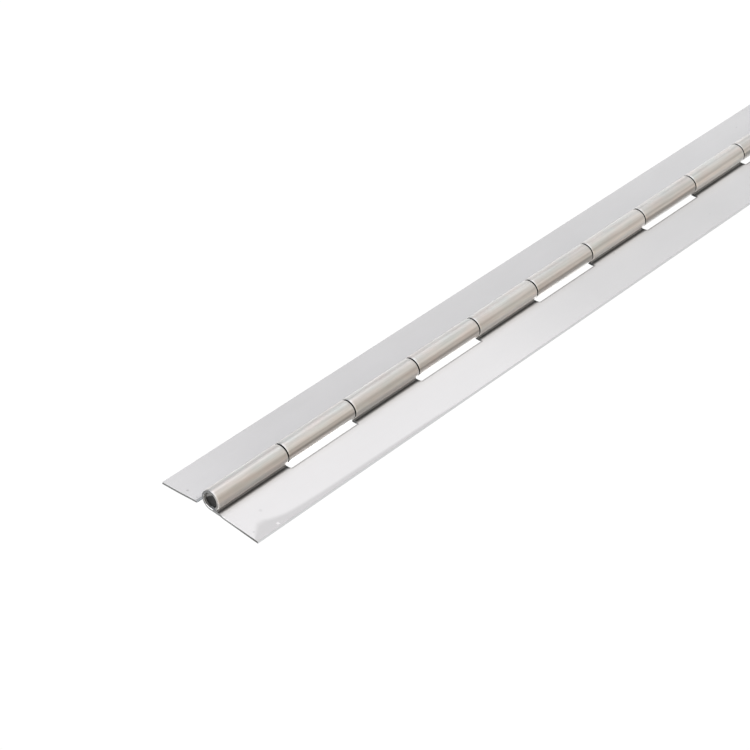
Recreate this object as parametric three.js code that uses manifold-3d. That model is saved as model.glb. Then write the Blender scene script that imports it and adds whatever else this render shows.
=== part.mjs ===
// Piano hinge (continuous hinge) in stainless steel sheet, millimetres, +Z up.
//
// Three pieces: two leaves, each a long strip of sheet whose tabs are rolled into
// every second knuckle, and one plain pin that runs through all the knuckles.
//
// The pin lies along Y. The origin is the middle of the footprint, on the plane
// the two outer edges stand on. The frame leaf is on the +X side and rolls the
// knuckle at the -Y end; the door leaf is on the -X side and rolls the knuckle
// at the +Y end. The rest pose is the hinge laid down almost flat, barrel up.

import * as THREE from "three";
import { mergeVertices } from "three/addons/utils/BufferGeometryUtils.js";
import Module from "manifold-3d";

// ---------------------------------------------------------------- dimensions
const LENGTH = 300; // length of this piece of hinge, along Y
const KNUCKLE_PITCH = 25; // one knuckle and one gap
const KNUCKLE_GAP = 0.35; // end play between neighbouring knuckles
const SHEET = 0.7; // sheet thickness of both leaves
const BARREL_DIAMETER = 5.8; // outside of the rolled knuckles
const PIN_CLEARANCE = 0.1; // radial, between the pin and the knuckles
const PIN_SETBACK = 0.5; // how far each pin end sits inside the barrel
const PIN_CHAMFER = 0.2;
const LEAF_WIDTH = 16; // barrel axis to outer edge
const FRAME_NOTCH = 3.85; // barrel axis to the notch edge of the frame leaf
const DOOR_NOTCH = 4.45; // barrel axis to the notch edge of the door leaf
const NOTCH_FILLET = 0.6; // radius in the notch's inside corners
const CURL_END_DEG = -41; // where the curl's free edge stops, measured from +X
const OPENING_DEG = 186; // angle between the leaves at rest, barrel side

// The flat strip and the rolled tabs overlap between these distances from the axis.
const OVERLAP_START = 1.2;
const OVERLAP_END = 2.4;

const CURL_SEGMENTS = 44;
const PIN_SEGMENTS = 56;
const FILLET_SEGMENTS = 4;

// ------------------------------------------------------------------- derived
const HALF_LENGTH = LENGTH / 2;
// The count must be even: each leaf rolls half the knuckles.
const KNUCKLES = Math.round(LENGTH / KNUCKLE_PITCH);
const BARREL_RADIUS = BARREL_DIAMETER / 2;
const BORE_RADIUS = BARREL_RADIUS - SHEET;
const PIN_RADIUS = BORE_RADIUS - PIN_CLEARANCE;
// Slope of each leaf, falling from the barrel to its outer edge.
const DROOP = THREE.MathUtils.degToRad((OPENING_DEG - 180) / 2);
// Height of the barrel axis above the plane the outer edges stand on.
const AXIS_Z = LEAF_WIDTH * Math.sin(DROOP) + BARREL_RADIUS * Math.cos(DROOP);

// Start and end of knuckle k along Y, counted from the -Y end.
function knuckleSpan(k) {
  const startGap = k === 0 ? 0 : KNUCKLE_GAP / 2;
  const endGap = k === KNUCKLES - 1 ? 0 : KNUCKLE_GAP / 2;
  return [
    -HALF_LENGTH + k * KNUCKLE_PITCH + startGap,
    -HALF_LENGTH + (k + 1) * KNUCKLE_PITCH - endGap,
  ];
}

// ------------------------------------------------------- solids and booleans
const manifold = await Module();
manifold.setup();

// Only positions are kept, so that corners shared by several faces can merge.
function toSolid(geometry) {
  geometry.deleteAttribute("normal");
  geometry.deleteAttribute("uv");
  const merged = mergeVertices(geometry, 1e-4);
  return new manifold.Manifold(
    new manifold.Mesh({
      numProp: 3,
      vertProperties: new Float32Array(merged.attributes.position.array),
      triVerts: new Uint32Array(merged.index.array),
    }),
  );
}

// Unshared vertices give the flat shading of bent sheet.
function toGeometry(solid) {
  const mesh = solid.getMesh();
  const indexed = new THREE.BufferGeometry();
  indexed.setAttribute("position", new THREE.BufferAttribute(mesh.vertProperties, 3));
  indexed.setIndex(new THREE.BufferAttribute(mesh.triVerts, 1));
  const flat = indexed.toNonIndexed();
  flat.computeVertexNormals();
  return flat;
}

// ------------------------------------------------------------ leaf, flat part
// Points of a fillet at a right-angled corner, from the side of the previous
// corner to the side of the next one.
function filletPoints(previous, corner, next, radius) {
  const back = previous.clone().sub(corner).normalize();
  const ahead = next.clone().sub(corner).normalize();
  const centre = corner.clone().addScaledVector(back, radius).addScaledVector(ahead, radius);
  const points = [];
  for (let i = 0; i <= FILLET_SEGMENTS; i++) {
    const angle = (i / FILLET_SEGMENTS) * (Math.PI / 2);
    points.push(
      centre
        .clone()
        .addScaledVector(ahead, -radius * Math.cos(angle))
        .addScaledVector(back, -radius * Math.sin(angle)),
    );
  }
  return points;
}

// Plan outline of a leaf on its +X side: a strip with a tab at each even knuckle
// and a notch beside each odd one, which belongs to the other leaf.
function leafPlan(notchX) {
  const corners = [];
  const addCorner = (x, y, fillet = 0) => {
    corners.push({ point: new THREE.Vector2(x, y), fillet });
  };

  addCorner(LEAF_WIDTH, -HALF_LENGTH);
  addCorner(LEAF_WIDTH, HALF_LENGTH);
  for (let k = KNUCKLES - 2; k >= 0; k -= 2) {
    // The notch reaches the neighbouring tabs' sides, one gap past its knuckle;
    // the last notch is open at the end of the hinge.
    const [notchStart, notchEnd] = knuckleSpan(k + 1);
    if (k + 1 === KNUCKLES - 1) addCorner(notchX, HALF_LENGTH);
    else addCorner(notchX, notchEnd + KNUCKLE_GAP, NOTCH_FILLET);
    addCorner(notchX, notchStart - KNUCKLE_GAP, NOTCH_FILLET);

    const [tabStart, tabEnd] = knuckleSpan(k);
    addCorner(OVERLAP_START, tabEnd);
    addCorner(OVERLAP_START, tabStart);
  }

  const outline = corners.flatMap(({ point, fillet }, i) =>
    fillet ? filletPoints(corners[i - 1].point, point, corners[i + 1].point, fillet) : [point],
  );
  return new THREE.Shape(outline);
}

function leafStrip(notchX) {
  return new THREE.ExtrudeGeometry(leafPlan(notchX), {
    depth: SHEET,
    bevelEnabled: false,
  }).translate(0, 0, -BARREL_RADIUS);
}

// ---------------------------------------------------------- leaf, rolled tabs
// Cross-section of one knuckle in the XZ plane, axis at the origin: the flat tab
// runs in along the underside, then rolls under the pin, up the far side, over
// the top and down until its free edge nearly meets the leaf again.
function curlProfile() {
  const start = -Math.PI / 2;
  const end = THREE.MathUtils.degToRad(CURL_END_DEG) - 2 * Math.PI;
  const outer = [];
  const inner = [];
  for (let i = 0; i <= CURL_SEGMENTS; i++) {
    const angle = start + ((end - start) * i) / CURL_SEGMENTS;
    const direction = new THREE.Vector2(Math.cos(angle), Math.sin(angle));
    outer.push(direction.clone().multiplyScalar(BARREL_RADIUS));
    inner.push(direction.clone().multiplyScalar(BORE_RADIUS));
  }
  return new THREE.Shape([
    new THREE.Vector2(OVERLAP_END, -BARREL_RADIUS),
    ...outer,
    ...inner.reverse(),
    new THREE.Vector2(OVERLAP_END, -BORE_RADIUS),
  ]);
}

function rolledTab(k) {
  const [start, end] = knuckleSpan(k);
  // The turn stands the profile up in XZ and runs the extrusion along -Y.
  return new THREE.ExtrudeGeometry(curlProfile(), {
    depth: end - start,
    bevelEnabled: false,
  })
    .rotateX(Math.PI / 2)
    .translate(0, end, 0);
}

function leafGeometry(notchX) {
  let solid = toSolid(leafStrip(notchX));
  for (let k = 0; k < KNUCKLES; k += 2) solid = solid.add(toSolid(rolledTab(k)));
  return toGeometry(solid);
}

// ------------------------------------------------------------------------ pin
function pinGeometry() {
  const halfPin = HALF_LENGTH - PIN_SETBACK;
  // Radius and Y of each point, from the -Y end to the +Y end.
  const profile = [
    [0, -halfPin],
    [PIN_RADIUS - PIN_CHAMFER, -halfPin],
    [PIN_RADIUS, -halfPin + PIN_CHAMFER],
    [PIN_RADIUS, halfPin - PIN_CHAMFER],
    [PIN_RADIUS - PIN_CHAMFER, halfPin],
    [0, halfPin],
  ];
  return new THREE.LatheGeometry(
    profile.map(([radius, y]) => new THREE.Vector2(radius, y)),
    PIN_SEGMENTS,
  );
}

// ------------------------------------------------------------------ materials
// Bare metal; the pin is darker and slightly duller than the leaves.
const FRAME_STEEL = { color: 0xd4d3d1, roughness: 0.32, metalness: 1 };
const DOOR_STEEL = { color: 0xcfcfd0, roughness: 0.32, metalness: 1 };
const PIN_STEEL = { color: 0x8c8a87, roughness: 0.4, metalness: 1 };

// ------------------------------------------------------------------- assembly
function piece(name, geometry, finish) {
  const mesh = new THREE.Mesh(geometry, new THREE.MeshStandardMaterial(finish));
  mesh.name = name;
  return mesh;
}

// A leaf in a group that tilts it about the barrel axis.
function tiltedSide(leaf, tilt) {
  const side = new THREE.Group();
  side.rotation.y = tilt;
  side.add(leaf);
  return side;
}

const frameLeaf = piece("frame_leaf", leafGeometry(FRAME_NOTCH), FRAME_STEEL);

// Turned half round about Z, so its knuckle 0 is at the +Y end and its knuckles
// fall in the frame leaf's notches.
const doorLeaf = piece("door_leaf", leafGeometry(DOOR_NOTCH), DOOR_STEEL);
doorLeaf.rotation.z = Math.PI;

const barrelAxis = new THREE.Group();
barrelAxis.position.set(0, 0, AXIS_Z);
barrelAxis.add(
  tiltedSide(frameLeaf, DROOP),
  tiltedSide(doorLeaf, -DROOP),
  piece("hinge_pin", pinGeometry(), PIN_STEEL),
);

const hinge = new THREE.Group();
hinge.add(barrelAxis);

export default hinge;
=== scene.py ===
import math
from collections import Counter

import bmesh
import bpy
import numpy as np
from mathutils import Matrix, Vector, noise


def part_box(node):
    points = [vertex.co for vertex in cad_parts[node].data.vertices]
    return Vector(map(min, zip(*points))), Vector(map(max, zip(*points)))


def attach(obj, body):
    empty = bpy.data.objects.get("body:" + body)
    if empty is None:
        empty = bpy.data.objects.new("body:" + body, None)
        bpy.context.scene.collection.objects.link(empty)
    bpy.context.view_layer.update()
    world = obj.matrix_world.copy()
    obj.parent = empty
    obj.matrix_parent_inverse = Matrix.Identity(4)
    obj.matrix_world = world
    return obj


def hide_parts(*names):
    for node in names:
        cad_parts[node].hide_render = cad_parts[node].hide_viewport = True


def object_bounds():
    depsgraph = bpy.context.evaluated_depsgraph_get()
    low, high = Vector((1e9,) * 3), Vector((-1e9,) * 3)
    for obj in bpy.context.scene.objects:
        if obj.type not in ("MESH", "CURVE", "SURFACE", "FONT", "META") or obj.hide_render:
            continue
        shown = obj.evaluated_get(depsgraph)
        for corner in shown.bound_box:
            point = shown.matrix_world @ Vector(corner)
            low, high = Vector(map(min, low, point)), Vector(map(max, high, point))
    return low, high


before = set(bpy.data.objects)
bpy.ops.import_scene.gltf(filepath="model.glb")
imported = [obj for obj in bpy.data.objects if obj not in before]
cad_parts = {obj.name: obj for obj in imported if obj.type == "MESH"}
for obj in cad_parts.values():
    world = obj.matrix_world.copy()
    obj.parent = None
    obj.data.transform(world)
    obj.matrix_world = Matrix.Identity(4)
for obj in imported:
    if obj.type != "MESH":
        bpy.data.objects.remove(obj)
cad_lo, cad_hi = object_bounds()
scene = bpy.context.scene

# ------------------------------------------------------------------ dimensions
# Millimetres and degrees, about the barrel axis.
LENGTH = 300.0
KNUCKLES = 12
PITCH = LENGTH / KNUCKLES
GAP = 0.35                   # between neighbouring knuckles
SHEET = 0.7                  # sheet thickness
KNUCKLE_R = 2.9              # outside of a knuckle
BORE_R = KNUCKLE_R - SHEET
MID_R = (KNUCKLE_R + BORE_R) / 2
PIN_R = 2.1
PIN_SETBACK = 0.5            # pin end inside the barrel end
PIN_ROUND = 0.36             # rounding of the pin's end corners
PIN_DOME = 0.03              # hollow at the centre of each pin end
LEAF_W = 16.0                # axis to outer edge
NOTCH = {"frame_leaf": 3.85, "door_leaf": 4.45}  # axis to the notch floor
SEED = {"frame_leaf": 3.0, "door_leaf": 8.0}
FILLET = 0.6                 # at the root of each tab
CURL_START = -90.0
CURL_END = -401.0
CURL_ARC = MID_R * math.radians(CURL_START - CURL_END)
DROOP = math.radians(3.0)
EDGE_BEVEL = 0.11

# mesh steps
FILLET_STEPS = 6
CURL_STEPS = 78
GAP_STEPS = 12
PIN_SIDES = 96
# columns across a tab, as shares of its width
TAB_COLUMNS = (0.0, 0.0066, 0.0144, 0.04, 0.08, 0.13, 0.19, 0.26, 0.34, 0.42, 0.5,
               0.58, 0.66, 0.74, 0.81, 0.87, 0.92, 0.96, 0.9856, 0.9934, 1.0)

pin_lo, pin_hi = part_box("hinge_pin")
AXIS = (pin_lo + pin_hi) / 2  # a point on the barrel axis, in metres
assert abs((cad_hi.y - cad_lo.y) * 1000 - LENGTH) < 0.01


def span(k):
    """The two ends of knuckle k along Y."""
    y0 = -LENGTH / 2 + k * PITCH + (0 if k == 0 else GAP / 2)
    y1 = -LENGTH / 2 + (k + 1) * PITCH - (0 if k == KNUCKLES - 1 else GAP / 2)
    return y0, y1


def unit(value):
    return min(1.0, max(0.0, value))


def layered_noise(x, y, z):
    total, weight = 0.0, 1.0
    for _ in range(3):
        total += weight * noise.noise(Vector((x, y, z)))
        x, y, z, weight = x * 2.03, y * 2.03, z * 2.03, weight * 0.5
    return total


def face_outward(bm):
    bmesh.ops.recalc_face_normals(bm, faces=bm.faces)
    if bm.calc_volume(signed=True) < 0:
        bmesh.ops.reverse_faces(bm, faces=bm.faces)


def place(bm, name, turn):
    """Make the object: turned about the axis, then moved there and put in metres."""
    me = bpy.data.meshes.new(name)
    bm.to_mesh(me)
    bm.free()
    me.transform(Matrix.Translation(AXIS) @ Matrix.Scale(0.001, 4) @ turn)
    me.update()
    ob = bpy.data.objects.new(name, me)
    scene.collection.objects.link(ob)
    return ob


# ---------------------------------------------------------------------- leaves
# A leaf is laid out as a flat comb blank, then bent. "run" goes from the outer edge
# in towards the pin and on round the curl; y goes along the hinge. In its own frame
# each leaf lies on the +X side and owns knuckles 0, 2, 4 ...
def tab_y(k, flare, share):
    """y at a share of tab k's width. Flare widens it, but not at the strip's end."""
    y0, y1 = span(k)
    if k:
        y0 -= flare
    return y0 + share * ((y1 + flare) - y0)


def flat_blank(root):
    """(run, y) of each vertex of the blank, and its quads; root is the notch floor."""
    strip_runs = [0.0, 0.35, 0.8, 1.3, 1.9] + [2.5 + 0.7 * i for i in range(9)]
    strip_runs += np.linspace(8.6, root, 12).tolist()

    # tab rows: (run, flare)
    angles = [math.radians(90 * i / FILLET_STEPS) for i in range(1, FILLET_STEPS + 1)]
    tab_rows = [(root + FILLET * (1 - math.cos(a)), FILLET * (1 - math.sin(a))) for a in angles]
    straight = np.linspace(root + FILLET, LEAF_W, 15)[1:].tolist()
    straight += [LEAF_W + CURL_ARC * i / CURL_STEPS for i in range(1, CURL_STEPS + 1)]
    tab_rows += [(run, 0.0) for run in straight]

    ys, tabs = [], []
    for k in range(0, KNUCKLES, 2):
        tabs.append((k, len(ys)))
        ys += [tab_y(k, FILLET, share) for share in TAB_COLUMNS]
        last = k + 2 == KNUCKLES
        start = ys[-1]
        end = LENGTH / 2 if last else tab_y(k + 2, FILLET, 0.0)
        steps = GAP_STEPS if last else GAP_STEPS - 1
        ys += [start + (end - start) * i / GAP_STEPS for i in range(1, steps + 1)]

    verts = [(run, y) for run in strip_runs for y in ys]
    quads = []

    def join(row, following):
        for j in range(len(row) - 1):
            quads.append((row[j], following[j], following[j + 1], row[j + 1]))

    rows = [range(i * len(ys), (i + 1) * len(ys)) for i in range(len(strip_runs))]
    for row, following in zip(rows, rows[1:]):
        join(row, following)
    for k, start in tabs:
        row = rows[-1][start:start + len(TAB_COLUMNS)]
        for run, flare in tab_rows:
            following = range(len(verts), len(verts) + len(TAB_COLUMNS))
            verts += [(run, tab_y(k, flare, share)) for share in TAB_COLUMNS]
            join(row, following)
            row = following
    return verts, quads


def crimp(x):
    """Rise of the strip where it runs into the barrel."""
    if x >= 6.0 or x <= 2.4:
        return 0.0
    if x >= 3.6:
        return 0.15 * ((6.0 - x) / 2.4) ** 2
    u = (3.6 - x) / 1.2
    return 0.15 * (1 - u * u * (3 - 2 * u))


def overlong(name, run, y):
    """The strip was cropped a few tenths long at one end."""
    inset = unit((13.6 - run) / 1.4)
    if name == "frame_leaf":
        return y - 0.12 * inset * unit((-142.0 - y) / 8.0)
    return y + (0.2 + 0.15 * unit((10.0 - run) / 5.0)) * inset * unit((y - 142.0) / 8.0)


def flat_point(name, run, y, upper):
    """A point of the flat, with long shallow waves that grow towards the outer edge."""
    x = LEAF_W - run
    wave = 0.035 * layered_noise(y / 55.0, run / 30.0, SEED[name])
    wave *= 0.35 + 0.65 * unit(1 - run / 12.0)
    z = -KNUCKLE_R + (SHEET if upper else 0.0) + wave * unit(x / 6.0) + crimp(x)
    if name == "frame_leaf":
        sag = math.radians(0.3 + 0.9 * ((LENGTH / 2 - y) / LENGTH) ** 2)
        z -= math.tan(sag) * max(0.0, x - 3.0)
    if run < 0.01 and not upper:
        x += 0.18       # the slit leans out a little at the bottom
    return x, overlong(name, run, y), z


def curl_point(name, run, y, inside):
    """A point of a knuckle, not perfectly round and drawn in at its two ends."""
    turned = (run - LEAF_W) / CURL_ARC
    angle = math.radians(CURL_START + (CURL_END - CURL_START) * turned)
    k = int((y + LENGTH / 2) // PITCH)
    y0, y1 = span(k)
    fade = unit((run - LEAF_W) / 1.5)
    radius = BORE_R
    if not inside:
        to_end = max(0.0, min(y - y0, y1 - y))
        radius = KNUCKLE_R - 0.11 * max(0.0, 1 - to_end / 0.36) ** 2 * fade
        wobble = 0.5 + 0.5 * math.sin(3 * angle + SEED[name])
        radius -= 0.012 * wobble * unit(turned * 5)
    if k > 0 and abs(y - y0) < 0.001:
        y += 0.05 * fade
    elif abs(y - y1) < 0.001:
        y -= 0.05 * fade
    return radius * math.cos(angle), y, radius * math.sin(angle)


def quad_edges(quad):
    return list(zip(quad, quad[1:] + quad[:1]))


def build_leaf(name):
    """Material slots: 0 sheet, 1 sheared ends, 2 slit long edges."""
    root = LEAF_W - NOTCH[name]
    door = name == "door_leaf"
    verts, quads = flat_blank(root)
    bm = bmesh.new()
    # run, y, thickness (1 on the upper or inside skin) and leaf (1 on the door leaf)
    layers = [bm.verts.layers.float.new("sheet_" + letter) for letter in "byts"]
    run_layer = layers[0]
    skins = {}
    for upper in (True, False):
        skins[upper] = []
        for run, y in verts:
            shape = flat_point if run <= LEAF_W else curl_point
            vert = bm.verts.new(shape(name, run, y, upper))
            for layer, value in zip(layers, (run, y, float(upper), float(door))):
                vert[layer] = value
            skins[upper].append(vert)
    over, under = skins[True], skins[False]
    for quad in quads:
        bm.faces.new([over[i] for i in reversed(quad)])
        bm.faces.new([under[i] for i in quad])
    uses = Counter(frozenset(edge) for quad in quads for edge in quad_edges(quad))
    rim = []
    for quad in quads:
        for i, j in quad_edges(quad):
            if uses[frozenset((i, j))] == 1:
                rim.append(bm.faces.new([under[j], under[i], over[i], over[j]]))
    face_outward(bm)
    bm.normal_update()
    for face in rim:
        face.material_index = 1 if abs(face.normal.y) > 0.6 else 2
    sharp = [e for e in bm.edges
             if len(e.link_faces) == 2 and e.calc_face_angle() > math.radians(40)]
    bmesh.ops.bevel(bm, geom=sharp, offset=EDGE_BEVEL, offset_type="OFFSET", segments=3,
                    profile=0.5, affect="EDGES", clamp_overlap=True, material=-1)
    # the bevels of the strip and curl ends look like sheet; at the tab roots they don't
    for face in bm.faces:
        face.smooth = True
        if face.material_index == 1 and abs(face.normal.y) < 0.96:
            run = sum(v[run_layer] for v in face.verts) / len(face.verts)
            as_sheet = run < root - 0.3 or LEAF_W - 0.2 < run < LEAF_W + 10.4
            face.material_index = 0 if as_sheet else 1
    turn = Matrix.Rotation(DROOP, 4, "Y")
    if door:
        turn = Matrix.Rotation(-DROOP, 4, "Y") @ Matrix.Rotation(math.pi, 4, "Z")
    ob = place(bm, name + "_fine", turn)
    normals = ob.modifiers.new("normals", "WEIGHTED_NORMAL")
    normals.mode = "FACE_AREA"
    normals.weight = 60
    normals.keep_sharp = False
    return ob


# ------------------------------------------------------------------------- pin
def build_pin():
    """Full-length wire with softly cropped ends. Slots: 0 side, 1 end faces."""
    half = LENGTH / 2 - PIN_SETBACK
    flat_r = PIN_R - PIN_ROUND
    # outline as (radius, y)
    end = [(i * flat_r / 6, -half + PIN_DOME * (1 - (i / 6.0) ** 2)) for i in range(7)]
    for i in range(1, 6):
        angle = math.radians(90 * i / 5)
        end.append((flat_r + PIN_ROUND * math.sin(angle),
                    -half + PIN_ROUND - PIN_ROUND * math.cos(angle)))
    middle = np.linspace(-half + PIN_ROUND, half - PIN_ROUND, 61)[1:-1]
    outline = end + [(PIN_R, y) for y in middle] + [(r, -y) for r, y in reversed(end)]

    bm = bmesh.new()
    rings = []
    for radius, y in outline:
        if radius < 1e-6:
            rings.append([bm.verts.new((0, y, 0))])
            continue
        angles = [2 * math.pi * i / PIN_SIDES for i in range(PIN_SIDES)]
        rings.append([bm.verts.new((radius * math.cos(a), y, radius * math.sin(a)))
                      for a in angles])
    for ring, following in zip(rings, rings[1:]):
        for i in range(PIN_SIDES):
            j = (i + 1) % PIN_SIDES
            if len(ring) == 1:
                bm.faces.new([ring[0], following[j], following[i]])
            elif len(following) == 1:
                bm.faces.new([ring[i], ring[j], following[0]])
            else:
                bm.faces.new([ring[i], ring[j], following[j], following[i]])
    face_outward(bm)
    for face in bm.faces:
        face.smooth = True
        y = sum(v.co.y for v in face.verts) / len(face.verts)
        face.material_index = 1 if abs(y) > half - 0.12 else 0
    return place(bm, "hinge_pin_fine", Matrix.Identity(4))


# ---------------------------------------------------------------- node helpers
class Nodes:
    """Builds a node tree. Values may be sockets or plain numbers."""

    def __init__(self, tree):
        self.tree = tree
        tree.nodes.clear()

    def put(self, socket, value):
        if isinstance(value, bpy.types.NodeSocket):
            self.tree.links.new(value, socket)
        else:
            socket.default_value = value

    def new(self, kind, inputs=None, **props):
        node = self.tree.nodes.new("ShaderNode" + kind)
        for key, value in props.items():
            setattr(node, key, value)
        for key, value in (inputs or {}).items():
            self.put(node.inputs[key], value)
        return node

    def get(self, kind, inputs=None, **props):
        return self.new(kind, inputs, **props).outputs[0]

    def attribute(self, name):
        return self.new("Attribute", attribute_name=name).outputs["Fac"]

    def math(self, op, *values, clamp=False):
        return self.get("Math", dict(enumerate(values)), operation=op, use_clamp=clamp)

    def mul(self, first, *others):
        for other in others:
            first = self.math("MULTIPLY", first, other)
        return first

    def add(self, first, *others):
        for other in others:
            first = self.math("ADD", first, other)
        return first

    def sub(self, first, second):
        return self.math("SUBTRACT", first, second)

    def mul_add(self, value, factor, offset, clamp=False):
        return self.math("MULTIPLY_ADD", value, factor, offset, clamp=clamp)

    def darken(self, value, mask, depth):
        return self.mul(value, self.sub(1.0, self.mul(mask, depth)))

    def ramp(self, value, ends=(0, 1), to=(0.0, 1.0), linear=False):
        """Goes from to[0] at ends[0] to to[1] at ends[1]."""
        return self.get("MapRange", {"Value": value, "From Min": ends[0], "From Max": ends[1],
                                     "To Min": to[0], "To Max": to[1]}, clamp=True,
                        interpolation_type="LINEAR" if linear else "SMOOTHSTEP")

    def band(self, value, rise, fall):
        return self.mul(self.ramp(value, ends=rise), self.ramp(value, ends=fall))

    def mix(self, factor, first, second):
        return self.new("Mix", {0: factor, 6: first, 7: second}, data_type="RGBA").outputs[2]

    def scale(self, color, factor):
        return self.get("VectorMath", {0: color, "Scale": factor}, operation="SCALE")

    def split(self, vector):
        return self.new("SeparateXYZ", {"Vector": vector}).outputs

    def join(self, *parts):
        return self.get("CombineXYZ", dict(enumerate(parts)))

    def grain(self, across, along, scale, seed, detail=4.0, rough=0.6):
        """Noise about zero over two coordinates, each with its own scale."""
        where = self.join(self.mul(across, scale[0]), self.mul(along, scale[1]), seed)
        texture = self.new("TexNoise", {"Vector": where, "Scale": 1.0, "Detail": detail,
                                        "Roughness": rough}, noise_dimensions="3D")
        return self.sub(texture.outputs["Fac"], 0.5)

    def color_ramp(self, value, stops):
        """Piecewise-linear colour along 0..1; stops are (position, rgb)."""
        node = self.new("ValToRGB", {0: value})
        ramp = node.color_ramp
        ramp.interpolation = "LINEAR"
        while len(ramp.elements) > 1:
            ramp.elements.remove(ramp.elements[-1])
        ramp.elements[0].position = stops[0][0]
        ramp.elements[0].color = (*stops[0][1], 1)
        for position, color in stops[1:]:
            ramp.elements.new(position).color = (*color, 1)
        return node.outputs[0]

    def red(self, color):
        return self.get("SeparateColor", {0: color})

    def curve(self, value, stops):
        """Piecewise-linear value along 0..1."""
        return self.red(self.color_ramp(value, [(at, (v, v, v)) for at, v in stops]))

    def metal(self, color, metallic, rough, height, strength, distance, unlinked):
        """Bumped surface; unlinked is the colour left in the socket under its link."""
        bump = self.get("Bump", {"Strength": strength, "Distance": distance, "Height": height})
        shader = self.new("BsdfPrincipled", {"Metallic": metallic, "Specular IOR Level": 0.3,
                                             "Normal": bump})
        shader.inputs["Base Color"].default_value = (*unlinked, 1)
        self.put(shader.inputs["Base Color"], color)
        shader.inputs["Roughness"].default_value = 0.38
        self.put(shader.inputs["Roughness"], rough)
        self.new("OutputMaterial", {"Surface": shader.outputs[0]})


def material(name):
    mat = bpy.data.materials.new(name)
    mat.use_nodes = True
    return mat, Nodes(mat.node_tree)


# ----------------------------------------------------------------- sheet steel
FLAT_TONE = (0.640, 0.637, 0.640, 1)
CURL_TONE = (0.560, 0.552, 0.545, 1)
SHEET_ROUGH = (0.42, 0.41)   # flat, curl
SHEET_METAL = (0.6, 0.85)
BAND_DEPTH = 0.21            # depth of the painted darker reflection along the outer edge
UNDERSIDE_SHADE = 0.85            # painted shade: value of the undersides of the flats

# how far in the painted edge reflection reaches over the first 90 mm: (distance from the -Y end,
# reach)
EDGE_LENGTH, EDGE_REACH = 90, 9
EDGE_BAND = [(y / EDGE_LENGTH, reach / EDGE_REACH) for y, reach in (
    (0, 0.9), (2, 2.5), (4.3, 4.1), (6.3, 3.95), (8, 3.2), (10, 2.6), (12, 2.05), (14, 1.85),
    (18, 1.55), (24, 1.3), (30, 1.15), (40, 1.0), (50, 0.8), (62, 0.6), (85, 0.0))]

# Tones may pass 1, so the ramps hold them times a gain.
TONE_GAIN = 0.8
END_GAIN = 0.6


def by_angle(pairs, gain=TONE_GAIN):
    return [((angle + 45) / 180, tone * gain) for angle, tone in pairs]


# painted reflections round the knuckles: (degrees from +X up over the barrel, tone)
ROUND_REFLECTION_FRAME = by_angle((
    (-45, 1.121), (-28, 1.064), (-16, 0.95), (-10, 0.912), (-2.9, 0.735), (7, 0.814),
    (8, 0.828), (13, 0.922), (19, 1.012), (20, 1.008), (25, 0.979), (31.9, 0.9),
    (39, 0.859), (44, 0.917), (50.8, 1.021), (57.5, 1.013), (65, 0.956), (72, 0.939),
    (80.2, 0.977), (89, 0.973), (98.3, 1.01), (105.9, 1.156), (115.5, 1.161), (132.6, 0.987)))
ROUND_REFLECTION_DOOR = by_angle((
    (-45, 0.997), (-28, 0.997), (-16, 0.997), (4.2, 0.902), (8, 0.673), (10.5, 0.691),
    (16.3, 0.774), (20, 1.085), (21.8, 1.123), (26.9, 1.11), (34, 0.923), (41.5, 1.122),
    (46.2, 1.171), (53, 1.045), (62.5, 0.978), (70, 0.914), (77.5, 0.969), (85.7, 1.07),
    (91.7, 1.129), (98.3, 1.161), (105.9, 1.127), (115.5, 1.012), (132.6, 0.977)))
# the same painted reflections, as a share of the above, for the knuckles towards +Y
END_REFLECTION_FRAME = by_angle((
    (-45, 1.38), (-28, 1.38), (-16, 1.38), (-4, 1.4), (8, 1.4), (14, 1.31), (20, 1.29),
    (26, 1.27), (32, 1.2), (38, 1.08), (44, 0.98), (56, 0.99), (62, 1.03), (68, 1.13),
    (74, 1.17), (80, 1.06), (86, 0.99), (92, 1.05), (98, 1.17), (104, 1.16), (110, 1.05),
    (116, 0.97), (122, 0.95), (135, 0.95)), END_GAIN)
END_REFLECTION_DOOR = by_angle((
    (-45, 1.0), (-10, 0.95), (-4, 0.85), (2, 0.78), (8, 0.95), (14, 1.38), (20, 1.36),
    (26, 1.18), (32, 1.05), (38, 0.93), (44, 0.91), (50, 0.88), (56, 0.91), (62, 0.96),
    (68, 1.04), (74, 1.11), (80, 1.01), (86, 0.92), (92, 0.9), (98, 0.97), (104, 1.06),
    (110, 1.04), (116, 1.02), (122, 0.99), (135, 0.97)), END_GAIN)
# painted light falloff along the flats: (share of the length from -Y to +Y, tone times
# TONE_GAIN)
LONG_LIGHT_FRAME = [
    (0.0, 0.80), (0.117, 0.803), (0.217, 0.815), (0.317, 0.826), (0.367, 0.80), (0.417, 0.77),
    (0.467, 0.744), (0.517, 0.737), (0.617, 0.74), (0.667, 0.729), (0.717, 0.757), (1.0, 0.757)]
LONG_LIGHT_DOOR = [
    (0.0, 0.822), (0.067, 0.782), (0.117, 0.748), (0.217, 0.75), (0.317, 0.756), (0.517, 0.752),
    (0.567, 0.769), (0.667, 0.786), (0.767, 0.812), (1.0, 0.82)]
# single marks: (leaf, run, y, radius, weight); a negative weight is a bright mark
MARKS = ((1, 7.0, 148.5, 0.45, 1.6), (1, 10.65, 149.1, 0.35, 1.2), (0, 6.9, -141.75, 0.6, 0.6),
         (0, 0.95, -141.95, 0.55, -1.3), (0, 2.85, -148.35, 0.35, 1.0))


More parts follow.
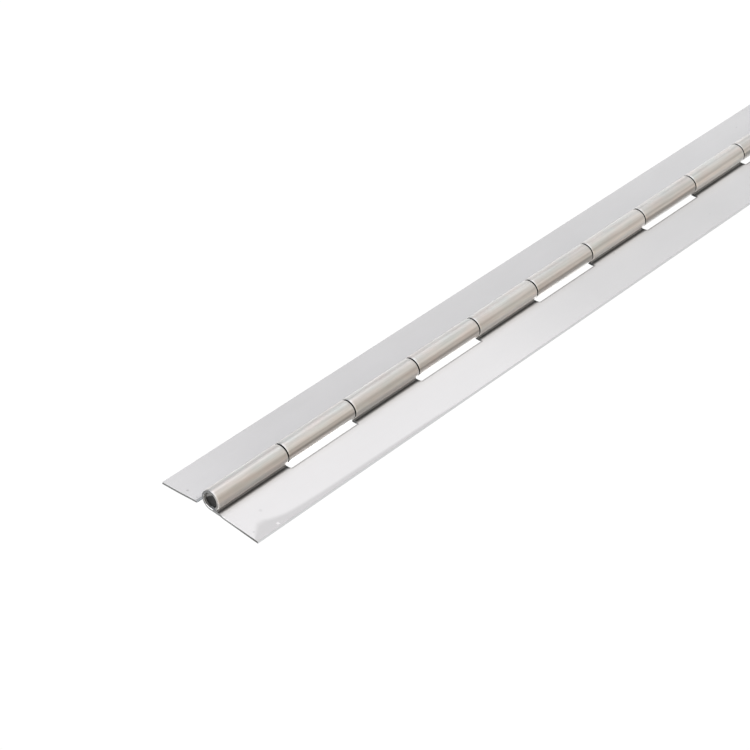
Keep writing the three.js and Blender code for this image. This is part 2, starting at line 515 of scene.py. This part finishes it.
def speck_mask(net, run, y, leaf):
    """Sparse faint specks, one in some of the cells, and the listed marks."""
    where = net.join(run, net.mul(y, 0.8), net.mul(leaf, 30.0))
    cells = net.new("TexVoronoi", {"Vector": where, "Scale": 0.16, "Randomness": 1.0},
                    feature="F1")
    pick = net.red(cells.outputs["Color"])
    dot = net.ramp(cells.outputs["Distance"], ends=(0.02, 0.06), to=(1.0, 0.0))
    specks = net.mul(dot, net.ramp(pick, ends=(0.72, 0.76)))
    for mark_leaf, mark_run, mark_y, radius, weight in MARKS:
        squared = net.add(net.math("POWER", net.sub(run, mark_run), 2.0),
                          net.math("POWER", net.sub(y, mark_y), 2.0))
        hit = net.mul(net.ramp(squared, ends=(0.0, radius * radius), to=(weight, 0.0)),
                      net.math("COMPARE", leaf, float(mark_leaf), 0.3))
        specks = net.add(specks, hit)
    return specks


def edge_reflection_mask(net, run, y, leaf):
    """Painted darker reflection in a band along the outer edge of the frame leaf, towards -Y."""
    along = net.math("DIVIDE", net.add(y, LENGTH / 2), float(EDGE_LENGTH), clamp=True)
    reach = net.mul(net.curve(along, EDGE_BAND), float(EDGE_REACH))
    softness = net.mul_add(reach, 0.2, 0.35)
    band = net.ramp(net.math("DIVIDE", net.sub(reach, run), softness), ends=(-1.0, 1.0))
    return net.mul(band, net.sub(1.0, leaf), net.ramp(y, ends=(-60.0, -90.0)))


def crevice_shade_mask(net, run, y):
    """Painted shade where the strip runs in under the barrel; mostly for the camera's own rays.
    """
    along = net.ramp(y, ends=(-30.0, 60.0))
    mask = net.mul(net.ramp(net.mul_add(along, 0.24, run), ends=(12.12, 13.12)),
                   net.ramp(net.mul_add(along, 0.07, run), ends=(13.9, 13.35)))
    seen = net.new("LightPath").outputs["Is Camera Ray"]
    return net.mul(mask, net.mul_add(seen, 0.85, 0.15))


def notch_reflection_and_shade_mask(net, run, y, leaf):
    """Painted dark reflection on the rolled-over edge along the notches, and painted shade at
    the tab corners beside them.
    """
    beat = net.math("FRACT", net.math("DIVIDE", net.add(y, LENGTH / 2), 2 * PITCH))
    in_notch = net.math("GREATER_THAN", beat, 0.5)
    lip = net.mul(net.ramp(net.add(run, net.mul(leaf, 0.6)), ends=(11.65, 12.0)), in_notch,
                  net.ramp(run, ends=(13.2, 12.6)))
    corner = net.mul(net.ramp(beat, ends=(0.476, 0.49)), net.ramp(run, ends=(11.9, 12.5)),
                     net.ramp(run, ends=(14.2, 13.6)))
    return net.math("MAXIMUM", lip, corner)


# tone of the painted reflections round a knuckle
def round_reflection_tone(net, angle, tones, end_tones, towards_end):
    at = net.mul_add(angle, 1 / 180, 0.25, clamp=True)
    change = net.mul_add(net.curve(at, end_tones), 1 / END_GAIN, -1.0)
    return net.mul(net.curve(at, tones), net.mul_add(change, towards_end, 1.0))


# applies painted reflections or painted light falloff as a change of tone
def apply_painted_light(net, value, mask, leaf, frame_tone, door_tone):
    tone = net.add(net.mul(frame_tone, net.sub(1.0, leaf)), net.mul(door_tone, leaf))
    change = net.mul(mask, net.mul_add(tone, 1 / TONE_GAIN, -1.0))
    return net.mul(value, net.mul_add(change, 1.0, 1.0))


def sheet_steel():
    """Mill-finish stainless strip. Satin in the flat with hair-fine rolling grain
    along the hinge; burnished and streaked where it was drawn round the pin.
    Its colour also holds painted reflections round the knuckles, painted light falloff
    along the flats, and painted shade in the crevice, at the notches and on the undersides."""
    mat, net = material("stainless_sheet")
    run = net.attribute("sheet_b")
    y = net.attribute("sheet_y")
    leaf = net.attribute("sheet_s")
    curl = net.ramp(run, ends=(LEAF_W - 1.0, LEAF_W + 1.0))
    flat = net.sub(1.0, curl)

    hair = net.grain(run, y, scale=(9.0, 0.12), seed=3.0, rough=0.62)
    drawn = net.grain(run, y, scale=(2.2, 0.045), seed=7.0)
    broad = net.grain(run, y, scale=(0.45, 0.09), seed=5.0, detail=3.0, rough=0.55)
    cloud = net.grain(run, y, scale=(0.13, 0.05), seed=11.0, detail=3.0, rough=0.55)
    hue = net.grain(run, y, scale=(0.5, 0.12), seed=17.0, detail=2.0, rough=0.5)

    # value: 1 plus a few percent of grain, more of it on the knuckles
    value = net.add(net.mul(hair, net.ramp(curl, to=(0.035, 0.18))),
                    net.mul(drawn, net.ramp(curl, to=(0.03, 0.42))),
                    net.mul(broad, net.ramp(curl, to=(0.015, 0.16))),
                    net.mul(cloud, 0.05), 1.0)
    specks = speck_mask(net, run, y, leaf)
    value = net.darken(value, specks, depth=0.14)
    # painted darker reflection along the outer edge
    value = net.darken(value, edge_reflection_mask(net, run, y, leaf), depth=BAND_DEPTH)
    # painted shade in the crevice under the barrel
    value = net.darken(value, crevice_shade_mask(net, run, y), depth=0.86)

    # painted darker reflection in a band part of the way round the knuckle
    turn = net.sub(run, LEAF_W)
    value = net.darken(value, net.band(turn, rise=(4.15, 4.75), fall=(5.9, 4.75)), depth=0.3)

    # painted reflections round each knuckle; the door leaf's own y runs towards -Y
    degrees = net.mul(turn, 180 / math.pi / MID_R)
    frame_tone = round_reflection_tone(net, net.sub(270.0, degrees), ROUND_REFLECTION_FRAME, END_REFLECTION_FRAME,
                            net.ramp(y, ends=(-95.0, 15.0)))
    door_tone = round_reflection_tone(net, net.sub(degrees, 90.0), ROUND_REFLECTION_DOOR, END_REFLECTION_DOOR,
                           net.ramp(y, ends=(112.0, -38.0), linear=True))
    value = apply_painted_light(net, value, curl, leaf, frame_tone, door_tone)

    # and painted light falloff along each flat
    frame_tone = net.curve(net.mul_add(y, 1 / LENGTH, 0.5, clamp=True), LONG_LIGHT_FRAME)
    door_tone = net.curve(net.mul_add(y, -1 / LENGTH, 0.5, clamp=True), LONG_LIGHT_DOOR)
    value = apply_painted_light(net, value, flat, leaf, frame_tone, door_tone)

    # painted shade: the undersides of the flats are darker
    facing = net.split(net.new("TexCoord").outputs["Normal"])
    outer = net.mul(net.ramp(facing[2], ends=(-0.85, -0.97)), flat)
    value = net.mul(value, net.mul_add(outer, UNDERSIDE_SHADE - 1.0, 1.0))
    # painted dark reflection along the notch edges and painted shade at the tab corners
    value = net.darken(value, notch_reflection_and_shade_mask(net, run, y, leaf), depth=0.42)

    # the knuckles drift between a warm and a cool tint
    tint = net.mix(net.ramp(hue, ends=(-0.22, 0.22), linear=True),
                   (1.045, 0.99, 0.965, 1), (0.965, 1.01, 1.0, 1))
    tinted = net.get("VectorMath", {0: net.mix(curl, FLAT_TONE, CURL_TONE),
                                    1: net.mix(curl, (1, 1, 1, 1), tint)},
                     operation="MULTIPLY")

    rough = net.add(net.ramp(curl, to=SHEET_ROUGH), net.mul(cloud, 0.08),
                    net.mul(drawn, 0.10), net.mul(specks, 0.12))
    height = net.add(net.mul(hair, net.ramp(curl, to=(0.5, 1.2))),
                     net.mul(drawn, net.ramp(curl, to=(0.6, 2.0))))
    height = net.sub(height, net.mul(specks, 1.0))
    net.metal(net.scale(tinted, value), metallic=net.ramp(curl, to=SHEET_METAL), rough=rough,
              height=height, strength=1.0, distance=5e-7, unlinked=(0.6, 0.6, 0.6))
    return mat


# ------------------------------------------------------------- other materials
SHEAR_TONES = (0.095, 0.60)  # torn, burnished
SLIT_TONES = (0.52, 0.16)    # outer edge, inside the notches
# the pin's side, painted dark for the shade in the gaps between the knuckles
WIRE_SHADE_COLOR = (0.07, 0.067, 0.064)


def sheared_steel():
    """Sheared ends: a bright burnished zone on the upper or inside part of the
    thickness and a dark torn zone on the rest."""
    mat, net = material("sheared_edge")
    run = net.attribute("sheet_b")
    thick = net.attribute("sheet_t")
    y = net.attribute("sheet_y")
    waver = net.grain(run, y, scale=(1.1, 0.02), seed=2.0, detail=3.0)
    fine = net.grain(run, thick, scale=(9.0, 3.0), seed=4.0)
    turn = net.sub(run, LEAF_W)
    edge = net.add(thick, net.mul(waver, 0.3))
    burnish = net.ramp(edge, ends=(0.74, 0.9))
    # a wider bright zone where the curl starts, and a faint one near its end
    low = net.mul(net.band(turn, rise=(-1.3, -0.7), fall=(1.9, 1.2)),
                  net.ramp(edge, ends=(0.58, 0.76)))
    late = net.ramp(turn, ends=(8.6, 10.0))
    level = net.mul(burnish, net.ramp(run, ends=(11.3, 12.0), to=(0.6, 0.0)))
    level = net.math("MAXIMUM", level, low)
    level = net.math("MAXIMUM", level,
                     net.mul(late, net.ramp(turn, ends=(11.0, 12.4), to=(0.2, 0.0))))
    # painted shade on the faces hidden between two knuckles
    inner = net.mul(net.ramp(net.math("ABSOLUTE", y), ends=(LENGTH / 2 - 0.3, LENGTH / 2 - 1.0)),
                    net.ramp(turn, ends=(0.0, 0.6)))
    level = net.mul(level, net.sub(1.0, inner))
    gap_shade = net.mul_add(inner, -0.65, 1.0)
    value = net.mul(net.ramp(level, to=SHEAR_TONES, linear=True), gap_shade,
                    net.add(1.0, net.mul(fine, 0.5)))
    tint = net.mix(late, (1.0, 1.0, 1.0, 1), (1.04, 0.99, 0.95, 1))
    net.metal(net.scale(tint, value), metallic=0.85, rough=net.ramp(burnish, to=(0.55, 0.38)),
              height=net.add(fine, net.mul(burnish, 0.6)), strength=0.5, distance=1e-5,
              unlinked=(0.2, 0.2, 0.2))
    return mat


def slit_steel():
    """Slit long edges: smooth and bright outside, duller inside the notches."""
    mat, net = material("slit_edge")
    run = net.attribute("sheet_b")
    thick = net.attribute("sheet_t")
    y = net.attribute("sheet_y")
    grain = net.grain(thick, y, scale=(4.0, 0.3), seed=6.0)
    level = net.ramp(run, ends=(6.0, 9.0), to=SLIT_TONES)
    value = net.mul(level, net.add(1.0, net.mul(grain, 0.12)))
    net.metal(net.scale((0.95, 1.0, 1.07), value),
              metallic=net.ramp(run, ends=(6.0, 9.0), to=(0.35, 0.85)), rough=0.45,
              height=grain, strength=0.4, distance=1e-5, unlinked=(0.5, 0.5, 0.5))
    return mat


def drawn_wire():
    """The pin's side: dull, painted dark for the shade in the gaps between the knuckles, with
    grain stretched along it.
    """
    mat, net = material("drawn_wire")
    where = net.get("Mapping", {"Vector": net.new("TexCoord").outputs["Object"],
                                "Scale": (1, 0.05, 1)})
    texture = net.new("TexNoise", {"Vector": where, "Scale": 1800.0, "Detail": 4.0,
                                   "Roughness": 0.62})
    grain = texture.outputs["Fac"]
    value = net.ramp(grain, ends=(0.3, 0.7), to=(0.75, 1.25))
    net.metal(net.scale(WIRE_SHADE_COLOR, value), metallic=0.9,
              rough=net.ramp(grain, ends=(0.3, 0.7), to=(0.37, 0.53)),
              height=grain, strength=0.5, distance=1e-5, unlinked=WIRE_SHADE_COLOR)
    return mat


def cropped_wire():
    """The pin's cropped end: dark, with a lighter shear facet on its upper -X side."""
    mat, net = material("cropped_wire_end")
    where = net.split(net.new("TexCoord").outputs["Object"])
    x = net.mul(where[0], 1000.0)
    z = net.mul(net.sub(where[2], AXIS.z), 1000.0)
    grain = net.grain(x, z, scale=(1.2, 1.2), seed=9.0)
    across = net.add(net.sub(net.mul(z, 0.8), net.mul(x, 0.6)), net.mul(grain, 0.5))
    facet = net.ramp(across, ends=(0.75, 1.35))
    value = net.mul(net.ramp(facet, to=(0.009, 0.12)), net.add(1.0, net.mul(grain, 0.8)))
    net.metal(net.scale((1.0, 0.98, 0.95), value), metallic=0.9, rough=0.55,
              height=grain, strength=0.5, distance=2e-5, unlinked=(0.05, 0.05, 0.05))
    return mat


# ---------------------------------------------------------------------- pieces
def hand_over(ob, node, materials):
    for mat in materials:
        ob.data.materials.append(mat)
    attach(ob, node)
    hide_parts(node)


leaf_materials = (sheet_steel(), sheared_steel(), slit_steel())
pin_materials = (drawn_wire(), cropped_wire())
for leaf_name in ("frame_leaf", "door_leaf"):
    hand_over(build_leaf(leaf_name), leaf_name, leaf_materials)
hand_over(build_pin(), "hinge_pin", pin_materials)

# --------------------------------------------------------------- stage, lights
GLOW_GAIN = 4.0       # colours pass 1, so ramps hold them divided by this
PLAIN_WHITE = 1.02    # what the camera sees of table and tent
FLOOR_Z = -0.02       # metres
FLOOR_HALF = 6.0
GLOW_HALF = 60        # mm each side of the axis covered by the glow table
# what the metal sees of the table: (x in mm, rgb)
TABLE_GLOW = ((-60, (1.66, 1.64, 1.62)), (-5, (2.57, 2.57, 2.57)), (5, (3.8, 3.8, 3.8)),
              (12, (1.7, 1.69, 1.66)), (25, (0.58, 0.46, 0.34)), (60, (0.66, 0.59, 0.51)))
# the dimmed strips under the leaves: (x in mm, amount)
UNDER_LEAVES = ((-60, 0), (-15.4, 0), (-14.5, 1), (-7.2, 1), (-6.2, 0), (5.6, 0), (6.6, 1),
                (14.5, 1), (15.4, 0))

# The light tent: each row is one slice of the sky, with colours at the AROUND angles
# from the +X horizon over the top to the -X horizon; the number in front is how far
# the slice leans towards +Y, in degrees.
AROUND = (0, 12, 28, 46, 64, 80, 94, 106, 118, 130, 144, 162, 180)
DIM = (0.20, 0.20, 0.20)
TENT = (
    (-60, ((1.37, 1.27, 1.14), (1.50, 1.41, 1.29), (1.57, 1.53, 1.45), (1.52, 1.55, 1.52),
           (1.63, 1.70, 1.75), (1.77, 1.88, 1.98), (1.77, 1.90, 2.05), (1.44, 1.56, 1.72),
           (0.74, 0.83, 0.96), (0.24, 0.25, 0.28), DIM, DIM, DIM)),
    (-20, ((1.31, 1.18, 1.04), (1.49, 1.37, 1.22), (1.53, 1.46, 1.35), (1.40, 1.40, 1.35),
           (1.51, 1.57, 1.60), (1.83, 1.93, 2.02), (2.07, 2.19, 2.34), (1.81, 1.92, 2.09),
           (0.91, 0.98, 1.12), (0.24, 0.24, 0.25), DIM, DIM, DIM)),
    (4, ((1.15, 0.99, 0.85), (1.28, 1.12, 0.97), (1.31, 1.18, 1.05), (1.20, 1.14, 1.05),
         (1.45, 1.43, 1.40), (1.89, 1.92, 1.97), (2.42, 2.46, 2.58), (2.47, 2.50, 2.66),
         (1.44, 1.45, 1.60), (0.24, 0.24, 0.28), DIM, DIM, DIM)),
    (20, ((0.86, 0.71, 0.60), (0.89, 0.72, 0.61), (0.83, 0.67, 0.55), (0.97, 0.84, 0.74),
          (1.19, 1.11, 1.03), (1.39, 1.35, 1.33), (1.92, 1.89, 1.92), (2.90, 2.84, 2.92),
          (2.33, 2.24, 2.34), (0.56, 0.50, 0.56), DIM, DIM, (0.35, 0.35, 0.34))),
    (34, ((0.68, 0.59, 0.53), (0.52, 0.42, 0.36), (0.43, 0.33, 0.25), (0.86, 0.78, 0.70),
          (1.13, 1.08, 1.00), (0.82, 0.79, 0.72), (0.63, 0.59, 0.51), (1.72, 1.68, 1.61),
          (2.34, 2.30, 2.29), (1.07, 1.02, 0.99), (0.51, 0.52, 0.51), (0.96, 0.97, 0.97),
          (0.83, 0.81, 0.82))),
    (48, ((1.05, 1.04, 1.02), (0.98, 0.96, 0.92), (0.77, 0.73, 0.67), (0.83, 0.78, 0.74),
          (0.97, 0.93, 0.89), (0.95, 0.91, 0.87), (1.01, 0.95, 0.90), (1.10, 1.09, 1.07),
          (0.71, 0.80, 0.85), (0.36, 0.40, 0.42), (0.67, 0.65, 0.61), (1.26, 1.24, 1.23),
          (1.29, 1.27, 1.30))),
    (72, ((1.08, 1.08, 1.06), (1.02, 1.01, 0.99), (0.86, 0.83, 0.80), (0.75, 0.72, 0.70),
          (0.79, 0.76, 0.75), (0.86, 0.85, 0.85), (0.94, 0.93, 0.94), (0.81, 0.83, 0.86),
          (0.37, 0.42, 0.46), (0.24, 0.24, 0.24), (0.40, 0.39, 0.37), (0.90, 0.88, 0.85),
          (1.11, 1.09, 1.09))),
)


def glow_stops(positions, colors):
    return [(at, tuple(c / GLOW_GAIN for c in color)) for at, color in zip(positions, colors)]


def plain_to_camera(net, kind, color, strength, camera_ray):
    """Coloured light for the metal, plain white for the camera."""
    lit = net.get(kind, {"Color": color, "Strength": strength})
    plain = net.get(kind, {"Color": (1, 1, 1, 1), "Strength": PLAIN_WHITE})
    return net.get("MixShader", {0: camera_ray, 1: lit, 2: plain})


def white_table():
    """Glow that depends on where a ray left the metal and passed under the leaves.
    Clear from below."""
    mat, net = material("white_table")
    geometry = net.new("NewGeometry").outputs
    light_path = net.new("LightPath").outputs
    here = net.split(geometry["Position"])
    back = net.split(geometry["Incoming"])

    def across_stops(x):
        return (x + GLOW_HALF) / (2 * GLOW_HALF)

    # where the ray passed just under the leaves
    up = net.math("DIVIDE", net.sub(-0.0002, here[2]), net.math("MAXIMUM", back[2], 0.02))
    passed = net.mul_add(back[0], up, here[0])
    across = net.mul_add(passed, 1000 / (2 * GLOW_HALF), 0.5, clamp=True)
    color = net.color_ramp(across, glow_stops([across_stops(x) for x, _ in TABLE_GLOW],
                                              [rgb for _, rgb in TABLE_GLOW]))

    # much dimmer for faces turned down to it, and in the strips under each leaf
    length = light_path["Ray Length"]
    start = net.get("VectorMath", {0: geometry["Incoming"], 1: net.join(length, length, length),
                                   2: geometry["Position"]}, operation="MULTIPLY_ADD")
    start_x, start_y, start_z = net.split(start)
    middle = net.ramp(net.math("ABSOLUTE", start_y), ends=(0.14988, 0.14975))
    beside = net.math("ABSOLUTE", start_x)
    low = net.mul(net.ramp(start_z, ends=(0.00095, 0.00085)),
                  net.ramp(beside, ends=(0.0156, 0.0152)))
    low_barrel = net.mul(net.ramp(start_z, ends=(0.0014, 0.0013)),
                         net.ramp(beside, ends=(0.003, 0.0029)))
    low = net.math("MAXIMUM", low, low_barrel)
    under = net.curve(across, [(across_stops(x), amount) for x, amount in UNDER_LEAVES])
    dim = net.mul(net.math("MAXIMUM", low, under), middle)

    # and falling off towards +Y right under the barrel
    along = net.mul_add(back[1], up, here[1])
    fall = net.mul(net.ramp(along, ends=(-0.112, 0.038), to=(0.0, 0.6), linear=True),
                   net.ramp(net.math("ABSOLUTE", passed), ends=(0.0075, 0.0055)))
    level = net.mul(net.mul_add(dim, -0.7, 1.0), net.sub(1.0, fall))

    top = plain_to_camera(net, "Emission", color, net.mul(level, GLOW_GAIN),
                          light_path["Is Camera Ray"])
    surface = net.get("MixShader", {0: geometry["Backfacing"], 1: top,
                                    2: net.get("BsdfTransparent")})
    net.new("OutputMaterial", {"Surface": surface})
    return mat


def make_floor():
    """A plain white table, far enough down for a leaf to hang clear of it."""
    me = bpy.data.meshes.new("floor")
    half = FLOOR_HALF
    corners = [(-half, -half, 0), (half, -half, 0), (half, half, 0), (-half, half, 0)]
    me.from_pydata(corners, [], [(0, 1, 2, 3)])
    ob = bpy.data.objects.new("floor", me)
    ob.location.z = FLOOR_Z
    scene.collection.objects.link(ob)
    me.materials.append(white_table())


def light_tent():
    world = bpy.data.worlds.new("light_tent")
    scene.world = world
    world.use_nodes = True
    net = Nodes(world.node_tree)
    x, y, z = net.split(net.new("TexCoord").outputs["Generated"])
    around = net.math("DIVIDE", net.math("ARCTAN2", net.math("MAXIMUM", z, 0.0), x), math.pi,
                      clamp=True)
    lean = net.mul(net.math("ARCSINE", y), 180 / math.pi)
    slices = [(at, net.color_ramp(around, glow_stops([a / 180 for a in AROUND], row)))
              for at, row in TENT]
    before, color = slices[0]
    for at, slice_color in slices[1:]:
        color = net.mix(net.ramp(lean, ends=(before, at), linear=True), color, slice_color)
        before = at
    surface = plain_to_camera(net, "Background", color, GLOW_GAIN,
                              net.new("LightPath").outputs["Is Camera Ray"])
    net.new("OutputWorld", {"Surface": surface})


make_floor()
light_tent()

# ---------------------------------------------------------------------- camera
# Position in millimetres from the barrel axis at its -Y end, and view directions.
CAM_POS = (315.776, -328.684, 380.827)
CAM_RIGHT = (0.753669, 0.655687, 0.045353)
CAM_DOWN = (0.421259, -0.428937, -0.799095)
CAM_FORWARD = (-0.504503, 0.621359, -0.599491)

cam_data = bpy.data.cameras.new("camera")
cam_data.sensor_width = 36.0
cam_data.sensor_fit = "HORIZONTAL"
cam_data.lens = 117.783168
cam_data.clip_start = 0.01
cam_data.clip_end = 50
cam = bpy.data.objects.new("camera", cam_data)
scene.collection.objects.link(cam)
right, down, forward = (Vector(v).normalized() for v in (CAM_RIGHT, CAM_DOWN, CAM_FORWARD))
rotation = Matrix((right, -down, -forward)).transposed()
position = Vector((CAM_POS[0], CAM_POS[1] - LENGTH / 2, CAM_POS[2])) / 1000
position += Vector((AXIS.x, 0, AXIS.z))
cam.matrix_world = Matrix.Translation(position) @ rotation.to_4x4()
scene.camera = cam

scene.view_settings.view_transform = "Standard"
scene.view_settings.look = "None"
scene.view_settings.exposure = 0.0
scene.view_settings.gamma = 1.0
